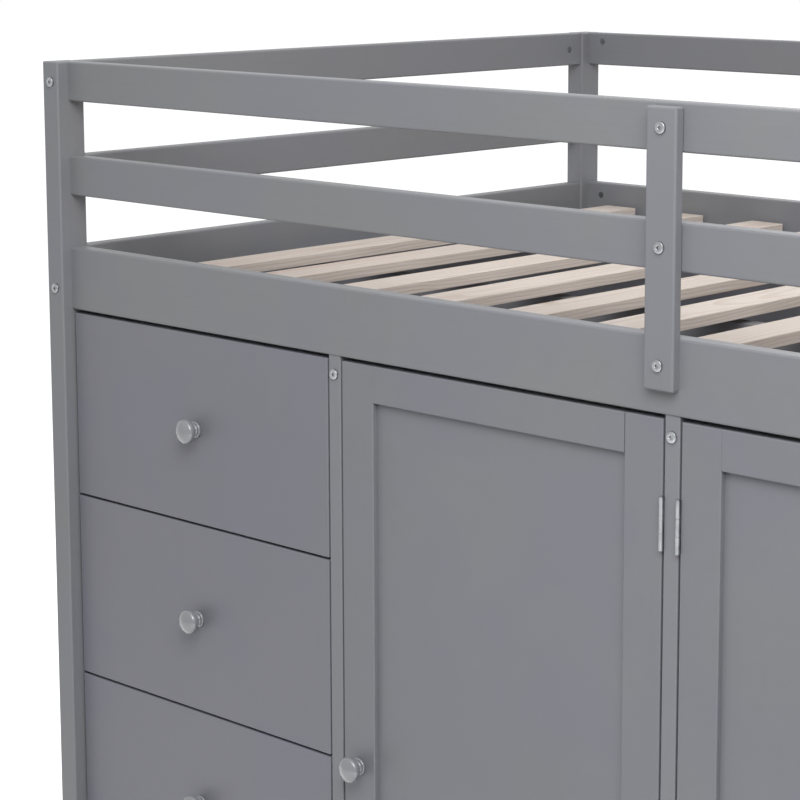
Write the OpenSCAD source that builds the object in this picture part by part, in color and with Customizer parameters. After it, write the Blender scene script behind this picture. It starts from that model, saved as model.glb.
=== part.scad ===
// Loft bed for a single mattress, with drawers, a wardrobe and open shelves under it.
// X runs along the bed, -Y is its front and +Z is up. The origin is on the floor,
// under the middle of the whole bed, ladder included. All sizes are in millimetres.

/* [Overall] */
// Length over the posts
bed_length = 2000; // [1900:5:2200]
// Depth over the posts
frame_depth = 1073; // [950:1:1500]
// Height from the floor to the top of the guard rails
bed_height = 1370; // [1250:5:1700]

/* [Posts] */
// Size of a post along the bed
post_w = 30; // [26:1:45]
// Size of a post across the bed
post_d = 42; // [40:1:60]
// Rounding of the timber's long edges
edge_r = 2.5; // [1:0.5:4]

/* [Guard rails] */
// Height of a guard rail
guard_h = 50; // [40:1:65]
// Thickness of a guard rail
guard_t = 20; // [18:0.5:22]
// How far the long guard rails stand back from the posts' front faces
guard_setback = 17; // [10:0.5:18]
// How far the end rails stand back from the posts' inner sides
end_setback = 3.5; // [1:0.5:5]
// Gap between the top and the middle guard rails
upper_gap = 70; // [50:1:85]
// Gap between the middle guard rail and the side rail
lower_gap = 67; // [50:1:85]

/* [Side rails] */
// Height of a side rail
side_h = 80; // [75:1:120]
// How far the front side rail stands back from the posts' front faces
side_setback = 15; // [8:0.5:16]

/* [Uprights] */
// Width of an upright board
upright_w = 38; // [30:1:60]
// Thickness of an upright board over the guard rails
upright_t = 13; // [10:0.5:16]
// How far an upright stops short of the top of the guard rails
upright_drop = 4; // [0:0.5:10]
// How far an upright laps down over the side rail
upright_lap = 54; // [45:1:70]

/* [Slats] */
// Number of slats
slat_count = 14; // [10:1:18]
// Width of a slat
slat_w = 57; // [45:1:80]
// Thickness of a slat
slat_t = 14; // [12:0.5:20]
// How far the slats' tops lie below the side rails' tops
slat_drop = 33; // [20:1:36]
// Space between the posts and the first and last slats
slat_margin = 46; // [30:1:80]
// Space between the slats' ends and the side rails
slat_end_gap = 10; // [6:0.5:14]
// How far a slat strays from its even place
slat_wander = 4; // [0:0.5:6]
// How far a slat turns from square, in degrees
slat_turn = 0.3; // [0:0.05:0.4]
// Width of the ledgers that carry the slats
ledger_w = 25; // [22:1:35]
// Height of the ledgers
ledger_h = 30; // [25:1:32]
// Width of the slat beam that stands on the cabinets
beam_w = 22; // [20:1:40]
// Space between the slat beam and the slats
beam_gap = 7; // [0:0.5:12]

/* [Cabinets] */
// Thickness of the upright panels
panel_t = 19; // [16:0.5:22]
// Depth of the upright panels
cabinet_depth = 396; // [350:1:450]
// Thickness of the cabinets' tops, floor and shelves
deck_t = 15; // [12:0.5:18]
// Thickness of the cabinets' backs
back_t = 5; // [3:0.5:8]
// Thickness of the boards across the bed's back and behind the cabinets' ends
back_board_t = 12; // [9:0.5:14]
// Gap between the boards across the bed's back
back_board_gap = 6; // [2:0.5:12]
// Height of the base rails
base_h = 69; // [60:1:100]
// Height of the base rails between the end posts
end_base_h = 50; // [40:1:55]
// Space between the doors' backs and the shelves
shelf_setback = 30; // [10:1:100]

/* [Drawers and doors] */
// Thickness of the drawer fronts and doors
front_t = 18; // [16:0.5:20]
// Gap at each side of a drawer front or door
side_gap = 2.5; // [2.4:0.1:4]
// Gap over the top drawer and the doors
top_gap = 5; // [2:0.5:8]
// Gap under the bottom drawer and the doors, and between drawers
low_gap = 3; // [2:0.5:5]
// Width of a door frame's stiles
door_stile_w = 50; // [40:1:70]
// Height of a door frame's rails
door_rail_h = 43; // [35:1:70]
// Thickness of a door's panel
door_panel_t = 6; // [4:0.5:7]
// How far a door's panel lies behind its frame
door_panel_recess = 7; // [3:0.5:7.5]
// How far a door's panel reaches into its frame
door_groove = 8; // [5:0.5:12]
// Width of a knob
knob_d = 31; // [24:0.5:36]
// Length of a knob
knob_l = 26; // [20:0.5:32]

/* [Drawer boxes] */
// Thickness of a drawer's sides and back
box_t = 12; // [11:0.5:15]
// Height of a drawer's sides
box_h = 150; // [120:1:170]
// Space between a drawer and the cabinets' back
box_back_gap = 30; // [8:1:60]
// Thickness of a drawer's bottom
box_bottom_t = 5; // [3:0.5:6]
// Depth of the groove for a drawer's bottom
box_groove = 4; // [3:0.5:5]
// Space between a drawer's sides and the panels
box_gap = 3; // [2:0.5:6]
// Height of a drawer's runner
runner_h = 16; // [12:0.5:20]
// Depth of a drawer side's groove for its runner
runner_groove = 7.5; // [5:0.5:8]

/* [Ladder] */
// Space between the ladder and the bay's sides
ladder_gap = 15; // [5:1:60]
// Thickness of a ladder rail
ladder_rail_t = 28; // [22:1:36]
// Depth of a ladder rail
ladder_rail_d = 60; // [45:1:80]
// Thickness of a tread
tread_t = 22; // [18:0.5:30]
// Number of treads
tread_count = 4; // [3:1:5]

/* [Hardware] */
// Diameter of the frame bolts
bolt_d = 6; // [5:0.5:7]
// Diameter of a bolt's head
bolt_head_d = 12.5; // [11:0.5:15]
// Height of a bolt's head
bolt_head_h = 3; // [2:0.5:4]
// Diameter of a barrel nut
nut_d = 10; // [9:0.5:12]
// Length of a barrel nut
nut_l = 14; // [13:0.5:16]
// Height of a door hinge
hinge_h = 56; // [40:1:80]
// Space between a door's edge and the nearest end of its hinge
hinge_inset = 81; // [50:1:150]
// Diameter of a hinge's knuckles
knuckle_d = 5.2; // [4.5:0.1:6]
// Diameter of a hinge's pin
hinge_pin_d = 2.5; // [2:0.1:3]
// Thickness of a hinge's leaves
leaf_t = 1; // [0.6:0.1:1.1]
// Depth of a hinge's leaves
leaf_d = 16; // [10:0.5:18]
// Diameter of a shelf pin
shelf_pin_d = 5; // [4:0.5:6]
// Diameter of a foot glide
glide_d = 22; // [16:1:26]
// Height of a foot glide
glide_h = 3; // [2:0.5:6]

/* [Hidden] */
$fn = 48;

// Clearances
joint_gap = 0.2;        // between pieces of one assembly that butt together
slide_clear = 0.3;      // over a drawer's runner
pin_clear = 0.05;       // round a hinge pin or a shelf pin, on the radius
hole_clear = 0.25;      // round a bolt or screw, on the radius
eps = 0.01;             // so that a cut passes its face

// Small sizes of the fasteners
socket_d = 4.6;
socket_depth = 2;
nut_slot = 1.2;
nut_sink = 0.5;
cap_h = 2;
screw_d = 4;
screw_head_d = 8;
screw_head_h = 2;
ledger_screw_l = 38;
board_screw_l = 32;
board_screw_aside = 15;
panel_screw_l = 48;
panel_screw_inset = 90;
hinge_screw_d = 2.6;
hinge_screw_head_d = 5;
hinge_screw_l = 9;
divider_bolt_l = 40;
ladder_bolt_l = 55;
tread_bolt_l = 68;
base_bolt_l = 60;
dowel_d = 8;
dowel_l = 14;
knob_screw_d = 4;
knob_screw_head_d = 9;
knob_screw_head_h = 2.5;
knob_screw_reach = 12;
pin_head_h = 1.2;
knuckle_clear = 0.3;

// Colours, as seen
paint = [0.50, 0.51, 0.53];
front_paint = [0.47, 0.48, 0.51];
pine = [0.84, 0.78, 0.70];
birch = [0.78, 0.70, 0.58];
steel = [0.75, 0.76, 0.78];
nylon = [0.15, 0.15, 0.16];

// Heights from the floor
z_top = bed_height;
z_middle = z_top - guard_h - upper_gap;
z_side = z_middle - guard_h - lower_gap;
z_cabinet = z_side - side_h;
z_slat = z_side - slat_drop;
z_ledger = z_slat - slat_t;
z_deck = glide_h + base_h;
z_floor = z_deck + deck_t;
z_ceiling = z_cabinet - deck_t;
door_h = z_cabinet - z_floor - top_gap - low_gap;
z_door = z_floor + low_gap;
drawer_pitch = (door_h + low_gap) / 4;
drawer_h = drawer_pitch - low_gap;
cubby_h = (z_ceiling - z_floor - 3 * deck_t) / 4;
step_rise = z_side / (tread_count + 1);

// Places across the bed
ladder_proud = ladder_rail_d - side_setback;
y_front = (ladder_proud - frame_depth - bolt_head_h) / 2;
y_back = y_front + frame_depth;
y_guard = y_front + guard_setback;
y_side = y_front + side_setback;
y_inside = y_guard + guard_t;
side_t = y_inside - y_side;
y_back_post = y_back - post_d;
y_back_rail = y_back_post + guard_setback;
y_cabinet = y_guard;
y_cabinet_back = y_cabinet + cabinet_depth;
y_back_boards = y_back_rail - ledger_w - back_board_t;
y_behind_front = y_cabinet + front_t;
y_deck = y_behind_front + 2;
y_beam = y_cabinet_back - beam_w;
y_end_board = y_cabinet_back + back_t + joint_gap;
end_board_l = y_back_boards - joint_gap - y_end_board;
end_board_screw_l = back_board_t + guard_t - 4;
slat_l = y_back_rail - y_inside - 2 * slat_end_gap;
slat_screw_l = ledger_h + slat_t - 4;

// Places along the bed
x_post = bed_length / 2 - post_w;
x_end_rail = x_post + end_setback;
bay_w = (2 * x_post - 3 * panel_t) / 4;
bay_pitch = bay_w + panel_t;
front_w = bay_w - 2 * side_gap;
slat_pitch = (2 * x_post - 2 * slat_margin - slat_w) / (slat_count - 1);
guard_l = bay_x(3) + x_post;
x_ladder = bay_x(3) + ladder_gap;
ladder_w = bay_w - 2 * ladder_gap;

// Depths inside the cabinets
box_l = cabinet_depth - front_t - box_back_gap;
shelf_depth = cabinet_depth - front_t - shelf_setback;

// Heights of the bolts in the posts
bolt_z_along = [z_top - 13.5, z_middle - guard_h / 2, z_side - 19.5];
bolt_z_across = [z_top - 25.5, z_side - 52.5, z_deck - end_base_h / 2 + 6];
base_bolt_z = glide_h + 17;
rear_bolt_z = z_deck - 25;
shelf_pin_half = 8;
nut_from_end = 27;
bolt_l_along = post_w + nut_from_end + nut_d / 2 + 2;
bolt_l_across = post_d + nut_from_end + nut_d / 2 + 2;

// Left edge of a bay, counted from 0 at the left
function bay_x(i) = -x_post + i * bay_pitch;
// Middle of a slat, with the small stray that hand-laid slats have
function slat_x(i) = -x_post + slat_margin + slat_w / 2 + i * slat_pitch
  + slat_wander * sin(200 * i + 40);
function slat_angle(i) = slat_turn * sin(150 * i + 20);
// Bottom of a drawer front, counted from 1 at the top
function drawer_z(n) = z_door + (4 - n) * drawer_pitch;
// Bottom of a shelf, counted from 1 at the bottom
function shelf_z(k) = z_floor + k * cubby_h + (k - 1) * deck_t;
// Points of an arc, from one angle to another
function arc(cx, cy, r, a0, a1, n) =
  [for (i = [0:n]) let (a = a0 + (a1 - a0) * i / n) [cx + r * cos(a), cy + r * sin(a)]];

// A rectangle with rounded corners, from its corner
module round_rect(w, h, r = edge_r) {
  translate([r, 0]) square([w - 2 * r, h]);
  translate([0, r]) square([w, h - 2 * r]);
  for (x = [r, w - r], y = [r, h - r]) translate([x, y]) circle(r);
}

// Bars with rounded long edges, from their lowest corner
module bar_x(at, size, r = edge_r) {
  translate(at) rotate([90, 0, 90]) linear_extrude(size.x) round_rect(size.y, size.z, r);
}
module bar_y(at, size, r = edge_r) {
  translate([at.x, at.y + size.y, at.z]) rotate([90, 0, 0])
    linear_extrude(size.y) round_rect(size.x, size.z, r);
}
module bar_z(at, size, r = edge_r) {
  translate(at) linear_extrude(size.z) round_rect(size.x, size.y, r);
}
// A bar with all its edges rounded
module eased_bar(at, size, r = edge_r) {
  intersection() {
    bar_x(at, size, r);
    bar_y(at, size, r);
    bar_z(at, size, r);
  }
}
// A plain board, from its lowest corner
module board(at, size) {
  translate(at) cube(size);
}
// The child, and its mirror image at the other end of the bed
module both_ends() {
  children();
  mirror([1, 0, 0]) children();
}

// Fasteners stand on the origin with their heads up

module bolt(l) {
  difference() {
    cylinder(h = bolt_head_h, d = bolt_head_d);
    translate([0, 0, bolt_head_h - socket_depth])
      cylinder(h = socket_depth + eps, d = socket_d, $fn = 6);
  }
  translate([0, 0, -l]) cylinder(h = l + eps, d = bolt_d);
}
module bolt_hole(l) {
  translate([0, 0, -l]) cylinder(h = l + eps, d = bolt_d + 2 * hole_clear);
}
module barrel_nut() {
  translate([0, 0, -nut_sink - nut_l]) difference() {
    cylinder(h = nut_l, d = nut_d);
    translate([-nut_d, -nut_slot / 2, nut_l - nut_slot]) cube([2 * nut_d, nut_slot, nut_slot + eps]);
    translate([0, 0, nut_l + nut_sink - guard_t / 2]) rotate([0, 90, 0])
      cylinder(h = 2 * nut_d, d = bolt_d + 2 * pin_clear, center = true);
  }
}
module nut_hole() {
  translate([0, 0, -nut_sink - nut_l - pin_clear])
    cylinder(h = nut_sink + nut_l + pin_clear + eps, d = nut_d + 2 * pin_clear);
}
module cap_nut() {
  cylinder(h = cap_h, d = bolt_head_d);
}
module screw(l, d = screw_d, head_d = screw_head_d, head_h = screw_head_h) {
  translate([0, 0, -head_h]) cylinder(h = head_h, d = head_d);
  translate([0, 0, -l]) cylinder(h = l, d = d);
}
module screw_hole(l, d = screw_d, head_d = screw_head_d, head_h = screw_head_h) {
  translate([0, 0, -head_h - pin_clear]) cylinder(h = head_h + pin_clear + eps, d = head_d + 2 * pin_clear);
  translate([0, 0, -l - pin_clear]) cylinder(h = l, d = d + 2 * pin_clear);
}
module hinge_screw() screw(hinge_screw_l, hinge_screw_d, hinge_screw_head_d, leaf_t / 2);
module hinge_screw_hole() screw_hole(hinge_screw_l, hinge_screw_d, hinge_screw_head_d, leaf_t / 2);

// Places of the fasteners

// Bolts that run along the bed, through a post and into a long rail
module at_bolts_along(end) {
  front_z = end < 0 ? bolt_z_along : [bolt_z_along[2]];
  for (z = concat(front_z, [base_bolt_z]))
    translate([end * bed_length / 2, y_guard + guard_t / 2, z]) rotate([0, 90 * end, 0]) children();
  for (z = bolt_z_along)
    translate([end * bed_length / 2, y_back_rail + guard_t / 2, z]) rotate([0, 90 * end, 0]) children();
}
// Barrel nuts of those bolts: in the long rails' inner faces
module at_nuts_along(end) {
  front_z = end < 0 ? bolt_z_along : [bolt_z_along[2]];
  for (z = concat(front_z, [base_bolt_z]))
    translate([end * (x_post - nut_from_end), y_inside, z]) rotate([-90, 0, 0]) children();
  for (z = bolt_z_along)
    translate([end * (x_post - nut_from_end), y_back_rail, z]) rotate([90, 0, 0]) children();
}
// Bolts that run across the bed, through a post and into an end rail
module at_bolts_across() {
  both_ends() for (z = bolt_z_across) {
    translate([x_end_rail + guard_t / 2, y_front, z]) rotate([90, 0, 0]) children();
    translate([x_end_rail + guard_t / 2, y_back, z]) rotate([-90, 0, 0]) children();
  }
}
// Barrel nuts of those bolts: in the end rails' inner faces
module at_nuts_across() {
  both_ends() for (z = bolt_z_across, y = [y_front + post_d + nut_from_end, y_back_post - nut_from_end])
    translate([x_end_rail, y, z]) rotate([0, -90, 0]) rotate([0, 0, 90]) children();
}
// Bolts through an upright whose right edge is at x, heads at the front
module at_upright_bolts(x) {
  for (z = [z_top - guard_h / 2, z_middle - guard_h / 2, z_side - 28])
    translate([x - upright_w / 2, y_guard - upright_t, z]) rotate([90, 0, 0]) children();
}
// Cap nuts of those bolts, on the rails' inner faces
module at_upright_caps() {
  for (x = [bay_x(2), bay_x(3)], z = [z_top - guard_h / 2, z_middle - guard_h / 2, z_side - 28])
    translate([x - upright_w / 2, y_inside, z]) rotate([-90, 0, 0]) children();
}
// Bolts through the front stiles into the dividers
module at_divider_bolts(i) {
  for (z = [z_cabinet - 22, z_floor + 22])
    translate([bay_x(i) - panel_t / 2, y_cabinet, z]) rotate([90, 0, 0]) children();
}
// Bolts from inside the side rail and the base rail into the ladder
module at_ladder_bolts() {
  for (x = [x_ladder + ladder_rail_t / 2, x_ladder + ladder_w - ladder_rail_t / 2],
       z = [z_side - 38, glide_h + base_h / 2])
    translate([x, y_inside, z]) rotate([-90, 0, 0]) children();
}
// Bolts through the end base rails into the rear base rail
module at_base_bolts() {
  both_ends() translate([x_end_rail + guard_t, y_cabinet_back - side_t / 2, rear_bolt_z])
    rotate([0, 90, 0]) children();
}
// Dowels in the ends of the right-hand middle end rail
module at_dowels() {
  for (dz = [-dowel_d - 3, dowel_d + 3]) {
    z = z_middle - guard_h / 2 + dz;
    translate([x_end_rail + guard_t / 2, y_front + post_d, z]) rotate([90, 0, 0]) children();
    translate([x_end_rail + guard_t / 2, y_back_post, z]) rotate([-90, 0, 0]) children();
  }
}
// Bolts through the ladder's rails into the treads
module at_tread_bolts() {
  for (k = [1:tread_count], y = [0.3, 0.7]) {
    z = k * step_rise - tread_t / 2;
    translate([x_ladder, y_side - ladder_rail_d * y, z]) rotate([0, -90, 0]) children();
    translate([x_ladder + ladder_w, y_side - ladder_rail_d * y, z]) rotate([0, 90, 0]) children();
  }
}
// A slat's place: the middle of its front end, at its top
module at_slat(i) {
  translate([slat_x(i), y_inside + slat_end_gap + slat_l / 2, z_slat]) rotate([0, 0, slat_angle(i)])
    translate([0, -slat_l / 2, 0]) children();
}
// Screws up through the ledgers into the slats
module at_slat_screws() {
  for (i = [0:slat_count - 1]) at_slat(i)
    for (y = [(ledger_w - slat_end_gap) / 2, slat_l - (ledger_w - slat_end_gap) / 2])
      translate([0, y, -slat_t - ledger_h]) rotate([180, 0, 0]) children();
}
// A place between slats i and i + 1, at the ledgers' half height
function between_slats(i, y) =
  [-x_post + slat_margin + slat_w / 2 + (i + 0.5) * slat_pitch, y, z_ledger - ledger_h / 2];
// Screws through the ledgers into the side rails
module at_ledger_screws() {
  for (i = [0:3:slat_count - 2]) {
    translate(between_slats(i, y_inside + ledger_w)) rotate([-90, 0, 0]) children();
    translate(between_slats(i, y_back_rail - ledger_w)) rotate([90, 0, 0]) children();
  }
}
// Two screws through each board across the bed's back into the back ledger
module at_board_screws() {
  for (board = [0:3], part = [0.25, 0.75]) {
    i = floor((board + part) * (slat_count - 1) / 4);
    translate(between_slats(i, y_back_boards) + [board_screw_aside, 0, 0])
      rotate([90, 0, 0]) children();
  }
}
// Screws through the boards behind the cabinets' ends into the end rails
module at_end_board_screws() {
  both_ends() for (part = [0.25, 0.75], z = [(z_cabinet + z_ledger) / 2, z_deck - end_base_h / 2])
    translate([x_end_rail - back_board_t, y_end_board + end_board_l * part, z])
      rotate([0, -90, 0]) children();
}
// Screws up through the floor into the dividers
module at_floor_screws() {
  for (i = [1:3], y = [y_cabinet + panel_screw_inset, y_cabinet_back - panel_screw_inset])
    translate([bay_x(i) - panel_t / 2, y, z_deck]) rotate([180, 0, 0]) children();
}
// Screws through the side panels into the cabinets' tops and floor
module at_panel_screws() {
  both_ends() for (z = [z_ceiling, z_deck],
      y = [y_cabinet + panel_screw_inset, y_cabinet_back - panel_screw_inset])
    translate([x_post + panel_t, y, z + deck_t / 2]) rotate([0, 90, 0]) children();
}

// Posts

module post(end, y) {
  difference() {
    eased_bar([end < 0 ? -bed_length / 2 : x_post, y, glide_h], [post_w, post_d, bed_height - glide_h]);
    at_bolts_along(end) bolt_hole(bolt_l_along);
    at_bolts_across() bolt_hole(bolt_l_across);
    both_ends() at_dowels() cylinder(h = dowel_l + 1, d = dowel_d + 2 * pin_clear);
  }
}

module front_left_post() color(paint) post(-1, y_front);
module front_right_post() color(paint) post(1, y_front);
module back_left_post() color(paint) post(-1, y_back_post);
module back_right_post() color(paint) post(1, y_back_post);

// Guard rails and side rails

module holes_along() {
  for (end = [-1, 1]) {
    at_bolts_along(end) bolt_hole(bolt_l_along + 1);
    at_nuts_along(end) nut_hole();
  }
}
module holes_across() {
  at_bolts_across() bolt_hole(bolt_l_across + 1);
  at_nuts_across() nut_hole();
}
module holes_upright() {
  for (x = [bay_x(2), bay_x(3)])
    at_upright_bolts(x) bolt_hole(upright_t + guard_t + eps);
}
module front_guard_rail(z) {
  difference() {
    bar_x([-x_post, y_guard, z], [guard_l, guard_t, guard_h]);
    holes_along();
    holes_upright();
  }
}
module back_guard_rail(z) {
  difference() {
    bar_x([-x_post, y_back_rail, z], [2 * x_post, guard_t, guard_h]);
    holes_along();
  }
}
module end_rail(z, h) {
  difference() {
    bar_y([x_end_rail, y_front + post_d, z], [guard_t, y_back_post - y_front - post_d, h]);
    holes_across();
  }
}

module front_top_guard_rail() color(paint) front_guard_rail(z_top - guard_h);
module front_middle_guard_rail() color(paint) front_guard_rail(z_middle - guard_h);
module back_top_guard_rail() color(paint) back_guard_rail(z_top - guard_h);
module back_middle_guard_rail() color(paint) back_guard_rail(z_middle - guard_h);

module end_guard_rails() {
  end_rail(z_top - guard_h, guard_h);
  end_rail(z_middle - guard_h, guard_h);
  at_dowels() translate([0, 0, -1]) cylinder(h = dowel_l + 1, d = dowel_d);
}
module left_end_guard_rails() color(paint) mirror([1, 0, 0]) end_guard_rails();
module right_end_guard_rails() color(paint) end_guard_rails();
module end_side_rail() difference() {
  end_rail(z_cabinet, side_h);
  at_end_board_screws() screw_hole(end_board_screw_l);
}
module left_end_side_rail() color(paint) mirror([1, 0, 0]) end_side_rail();
module right_end_side_rail() color(paint) end_side_rail();

module front_side_rail() color(paint) difference() {
  bar_x([-x_post, y_side, z_cabinet], [2 * x_post, side_t, side_h]);
  holes_along();
  holes_upright();
  at_ladder_bolts() bolt_hole(side_t + eps);
  at_ledger_screws() screw_hole(ledger_screw_l);
}
module back_side_rail() color(paint) difference() {
  bar_x([-x_post, y_back_rail, z_cabinet], [2 * x_post, side_t, side_h]);
  holes_along();
  at_ledger_screws() screw_hole(ledger_screw_l);
}

// Upright boards, rebated over the thicker side rail

module upright(x) {
  difference() {
    eased_bar([x - upright_w, y_guard - upright_t, z_side - upright_lap],
      [upright_w, upright_t, z_top - upright_drop - z_side + upright_lap]);
    board([x - upright_w - 1, y_side, z_side - upright_lap - 1],
      [upright_w + 2, y_guard - y_side + 1, upright_lap + 1]);
    at_upright_bolts(x) bolt_hole(upright_t + eps);
  }
}
module middle_upright() color(paint) upright(bay_x(2));
module entry_upright() color(paint) upright(bay_x(3));

// What carries the slats

module slat_ledgers() color(paint) difference() {
  for (y = [y_inside, y_back_rail - ledger_w])
    bar_x([-x_post, y, z_ledger - ledger_h], [2 * x_post, ledger_w, ledger_h], 1.5);
  at_board_screws() screw_hole(board_screw_l);
  at_slat_screws() screw_hole(slat_screw_l);
  at_ledger_screws() screw_hole(ledger_screw_l);
}
module slat_beam() color(paint)
  bar_x([-x_end_rail, y_beam, z_cabinet], [2 * x_end_rail, beam_w, z_ledger - z_cabinet - beam_gap], 1.5);

module slats() color(pine) difference() {
  for (i = [0:slat_count - 1]) at_slat(i)
    bar_y([-slat_w / 2, 0, -slat_t], [slat_w, slat_l, slat_t], 1.2);
  at_slat_screws() screw_hole(slat_screw_l);
}

// Frame hardware

module frame_bolts() color(steel) {
  for (end = [-1, 1]) at_bolts_along(end) bolt(bolt_l_along);
  at_bolts_across() bolt(bolt_l_across);
  for (x = [bay_x(2), bay_x(3)]) at_upright_bolts(x) bolt(upright_t + guard_t);
  for (i = [1:3]) at_divider_bolts(i) bolt(divider_bolt_l);
  at_ladder_bolts() bolt(ladder_bolt_l);
  at_tread_bolts() bolt(tread_bolt_l);
  at_base_bolts() bolt(base_bolt_l);
}
module wood_screws() color(steel) {
  at_slat_screws() screw(slat_screw_l);
  at_ledger_screws() screw(ledger_screw_l);
  at_board_screws() screw(board_screw_l);
  at_end_board_screws() screw(end_board_screw_l);
  at_floor_screws() screw(panel_screw_l);
  at_panel_screws() screw(panel_screw_l);
}
module barrel_nuts() color(steel) {
  for (end = [-1, 1]) at_nuts_along(end) barrel_nut();
  at_nuts_across() barrel_nut();
  at_upright_caps() cap_nut();
}
module foot_glides() color(nylon) {
  both_ends() for (y = [y_front + post_d / 2, y_back - post_d / 2])
    translate([x_post + post_w / 2, y, 0]) cylinder(h = glide_h, d = glide_d);
  for (i = [1:3], y = [y_side + side_t / 2, y_cabinet_back - side_t / 2])
    translate([bay_x(i) - panel_t / 2, y, 0]) cylinder(h = glide_h, d = min(glide_d, side_t));
  for (x = [x_ladder + ladder_rail_t / 2, x_ladder + ladder_w - ladder_rail_t / 2])
    translate([x, y_side - ladder_rail_d / 2, 0]) cylinder(h = glide_h, d = glide_d);
}

// Cabinets

module shelf_pin_place(i, k, end, y) {
  x = end < 0 ? bay_x(i) : bay_x(i) + bay_w;
  translate([x, y, shelf_z(k) - shelf_pin_d / 2]) rotate([0, -90 * end, 0]) children();
}
module at_shelf_pins() {
  for (end = [-1, 1], y = [y_deck + 60, y_cabinet_back - 60]) {
    for (i = [1, 2]) shelf_pin_place(i, 2, end, y) children();
    for (k = [1:3]) shelf_pin_place(3, k, end, y) children();
  }
}
module shelf_pin_hole() {
  translate([0, 0, -shelf_pin_half - pin_clear])
    cylinder(h = shelf_pin_half + pin_clear + eps, d = shelf_pin_d + 2 * pin_clear);
}
module side_panel() {
  difference() {
    board([x_post, y_front + post_d, z_deck],
      [panel_t, y_cabinet_back - y_front - post_d, z_cabinet - z_deck]);
    at_panel_screws() screw_hole(panel_screw_l);
  }
}
module divider(i) {
  difference() {
    board([bay_x(i) - panel_t, y_behind_front, z_floor],
      [panel_t, cabinet_depth - front_t, z_cabinet - z_floor]);
    at_divider_bolts(i) bolt_hole(divider_bolt_l + 1);
    at_floor_screws() screw_hole(panel_screw_l);
    at_shelf_pins() shelf_pin_hole();
  }
}
module left_side_panel() color(front_paint) mirror([1, 0, 0]) side_panel();
module right_side_panel() color(front_paint) difference() {
  side_panel();
  at_shelf_pins() shelf_pin_hole();
}
module front_stiles() color(front_paint) for (i = [1:3]) difference() {
  bar_z([bay_x(i) - panel_t, y_cabinet, z_floor], [panel_t, front_t, z_cabinet - z_floor], 1.5);
  at_divider_bolts(i) bolt_hole(front_t + 1);
  if (i == 2) {
    fixed_hinge_screws() hinge_screw_hole();
    as_right_door() fixed_hinge_screws() hinge_screw_hole();
  }
}
module drawer_divider() color(front_paint) divider(1);
module door_divider() color(front_paint) divider(2);
module shelf_divider() color(front_paint) divider(3);

module cabinet_tops() color(front_paint) difference() {
  for (i = [0:3])
    board([bay_x(i), y_deck, z_ceiling], [bay_w, y_cabinet_back - y_deck, deck_t]);
  at_panel_screws() screw_hole(panel_screw_l);
}
module cabinet_floor() color(front_paint) difference() {
  board([-x_post, y_cabinet, z_deck], [2 * x_post, cabinet_depth, deck_t]);
  at_panel_screws() screw_hole(panel_screw_l);
  at_floor_screws() screw_hole(panel_screw_l);
}
// The backs of the cabinets, and the boards across the bed's back and behind the cabinets' ends
module back_boards() color(front_paint) {
  both_ends() board([joint_gap / 2, y_cabinet_back, z_deck],
    [x_post + panel_t - joint_gap, back_t, z_cabinet - z_deck]);
  difference() {
    for (i = [0:3])
      board([-x_post + i * x_post / 2 + back_board_gap / 2, y_back_boards, glide_h],
        [x_post / 2 - back_board_gap, back_board_t, z_ledger - joint_gap - glide_h]);
    at_board_screws() screw_hole(board_screw_l);
  }
  difference() {
    both_ends() board([x_end_rail - back_board_t, y_end_board, glide_h],
      [back_board_t, end_board_l, z_ledger - joint_gap - glide_h]);
    at_end_board_screws() screw_hole(end_board_screw_l);
  }
}
module cabinet_base_rails() color(paint) difference() {
  union() {
    bar_x([-x_post, y_side, glide_h], [2 * x_post, side_t, base_h]);
    bar_x([-x_end_rail, y_cabinet_back - side_t, glide_h], [2 * x_end_rail, side_t, base_h]);
  }
  holes_along();
  at_ladder_bolts() bolt_hole(side_t + eps);
  at_base_bolts() bolt_hole(base_bolt_l + 1);
}
module end_base_rails() color(paint) difference() {
  both_ends() end_rail(z_deck - end_base_h, end_base_h);
  at_base_bolts() bolt_hole(base_bolt_l + 1);
  at_end_board_screws() screw_hole(end_board_screw_l);
}

runner_w = box_gap + runner_groove - slide_clear;
module drawer_runners() color(birch)
  for (n = [1:4], x = [bay_x(0), bay_x(0) + bay_w - runner_w])
    board([x, y_behind_front + 10, drawer_z(n) + box_rise + runner_rise],
      [runner_w, box_l - 15, runner_h]);

shelf_side_gap = 0.5;
module shelves() color(front_paint)
  for (s = [[1, 2], [2, 2], [3, 1], [3, 2], [3, 3]])
    board([bay_x(s[0]) + shelf_side_gap, y_cabinet_back - shelf_depth, shelf_z(s[1])],
      [bay_w - 2 * shelf_side_gap, shelf_depth, deck_t]);
module shelf_pins() color(steel) at_shelf_pins()
  translate([0, 0, -shelf_pin_half]) cylinder(h = 2 * shelf_pin_half, d = shelf_pin_d);

// Drawers

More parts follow.
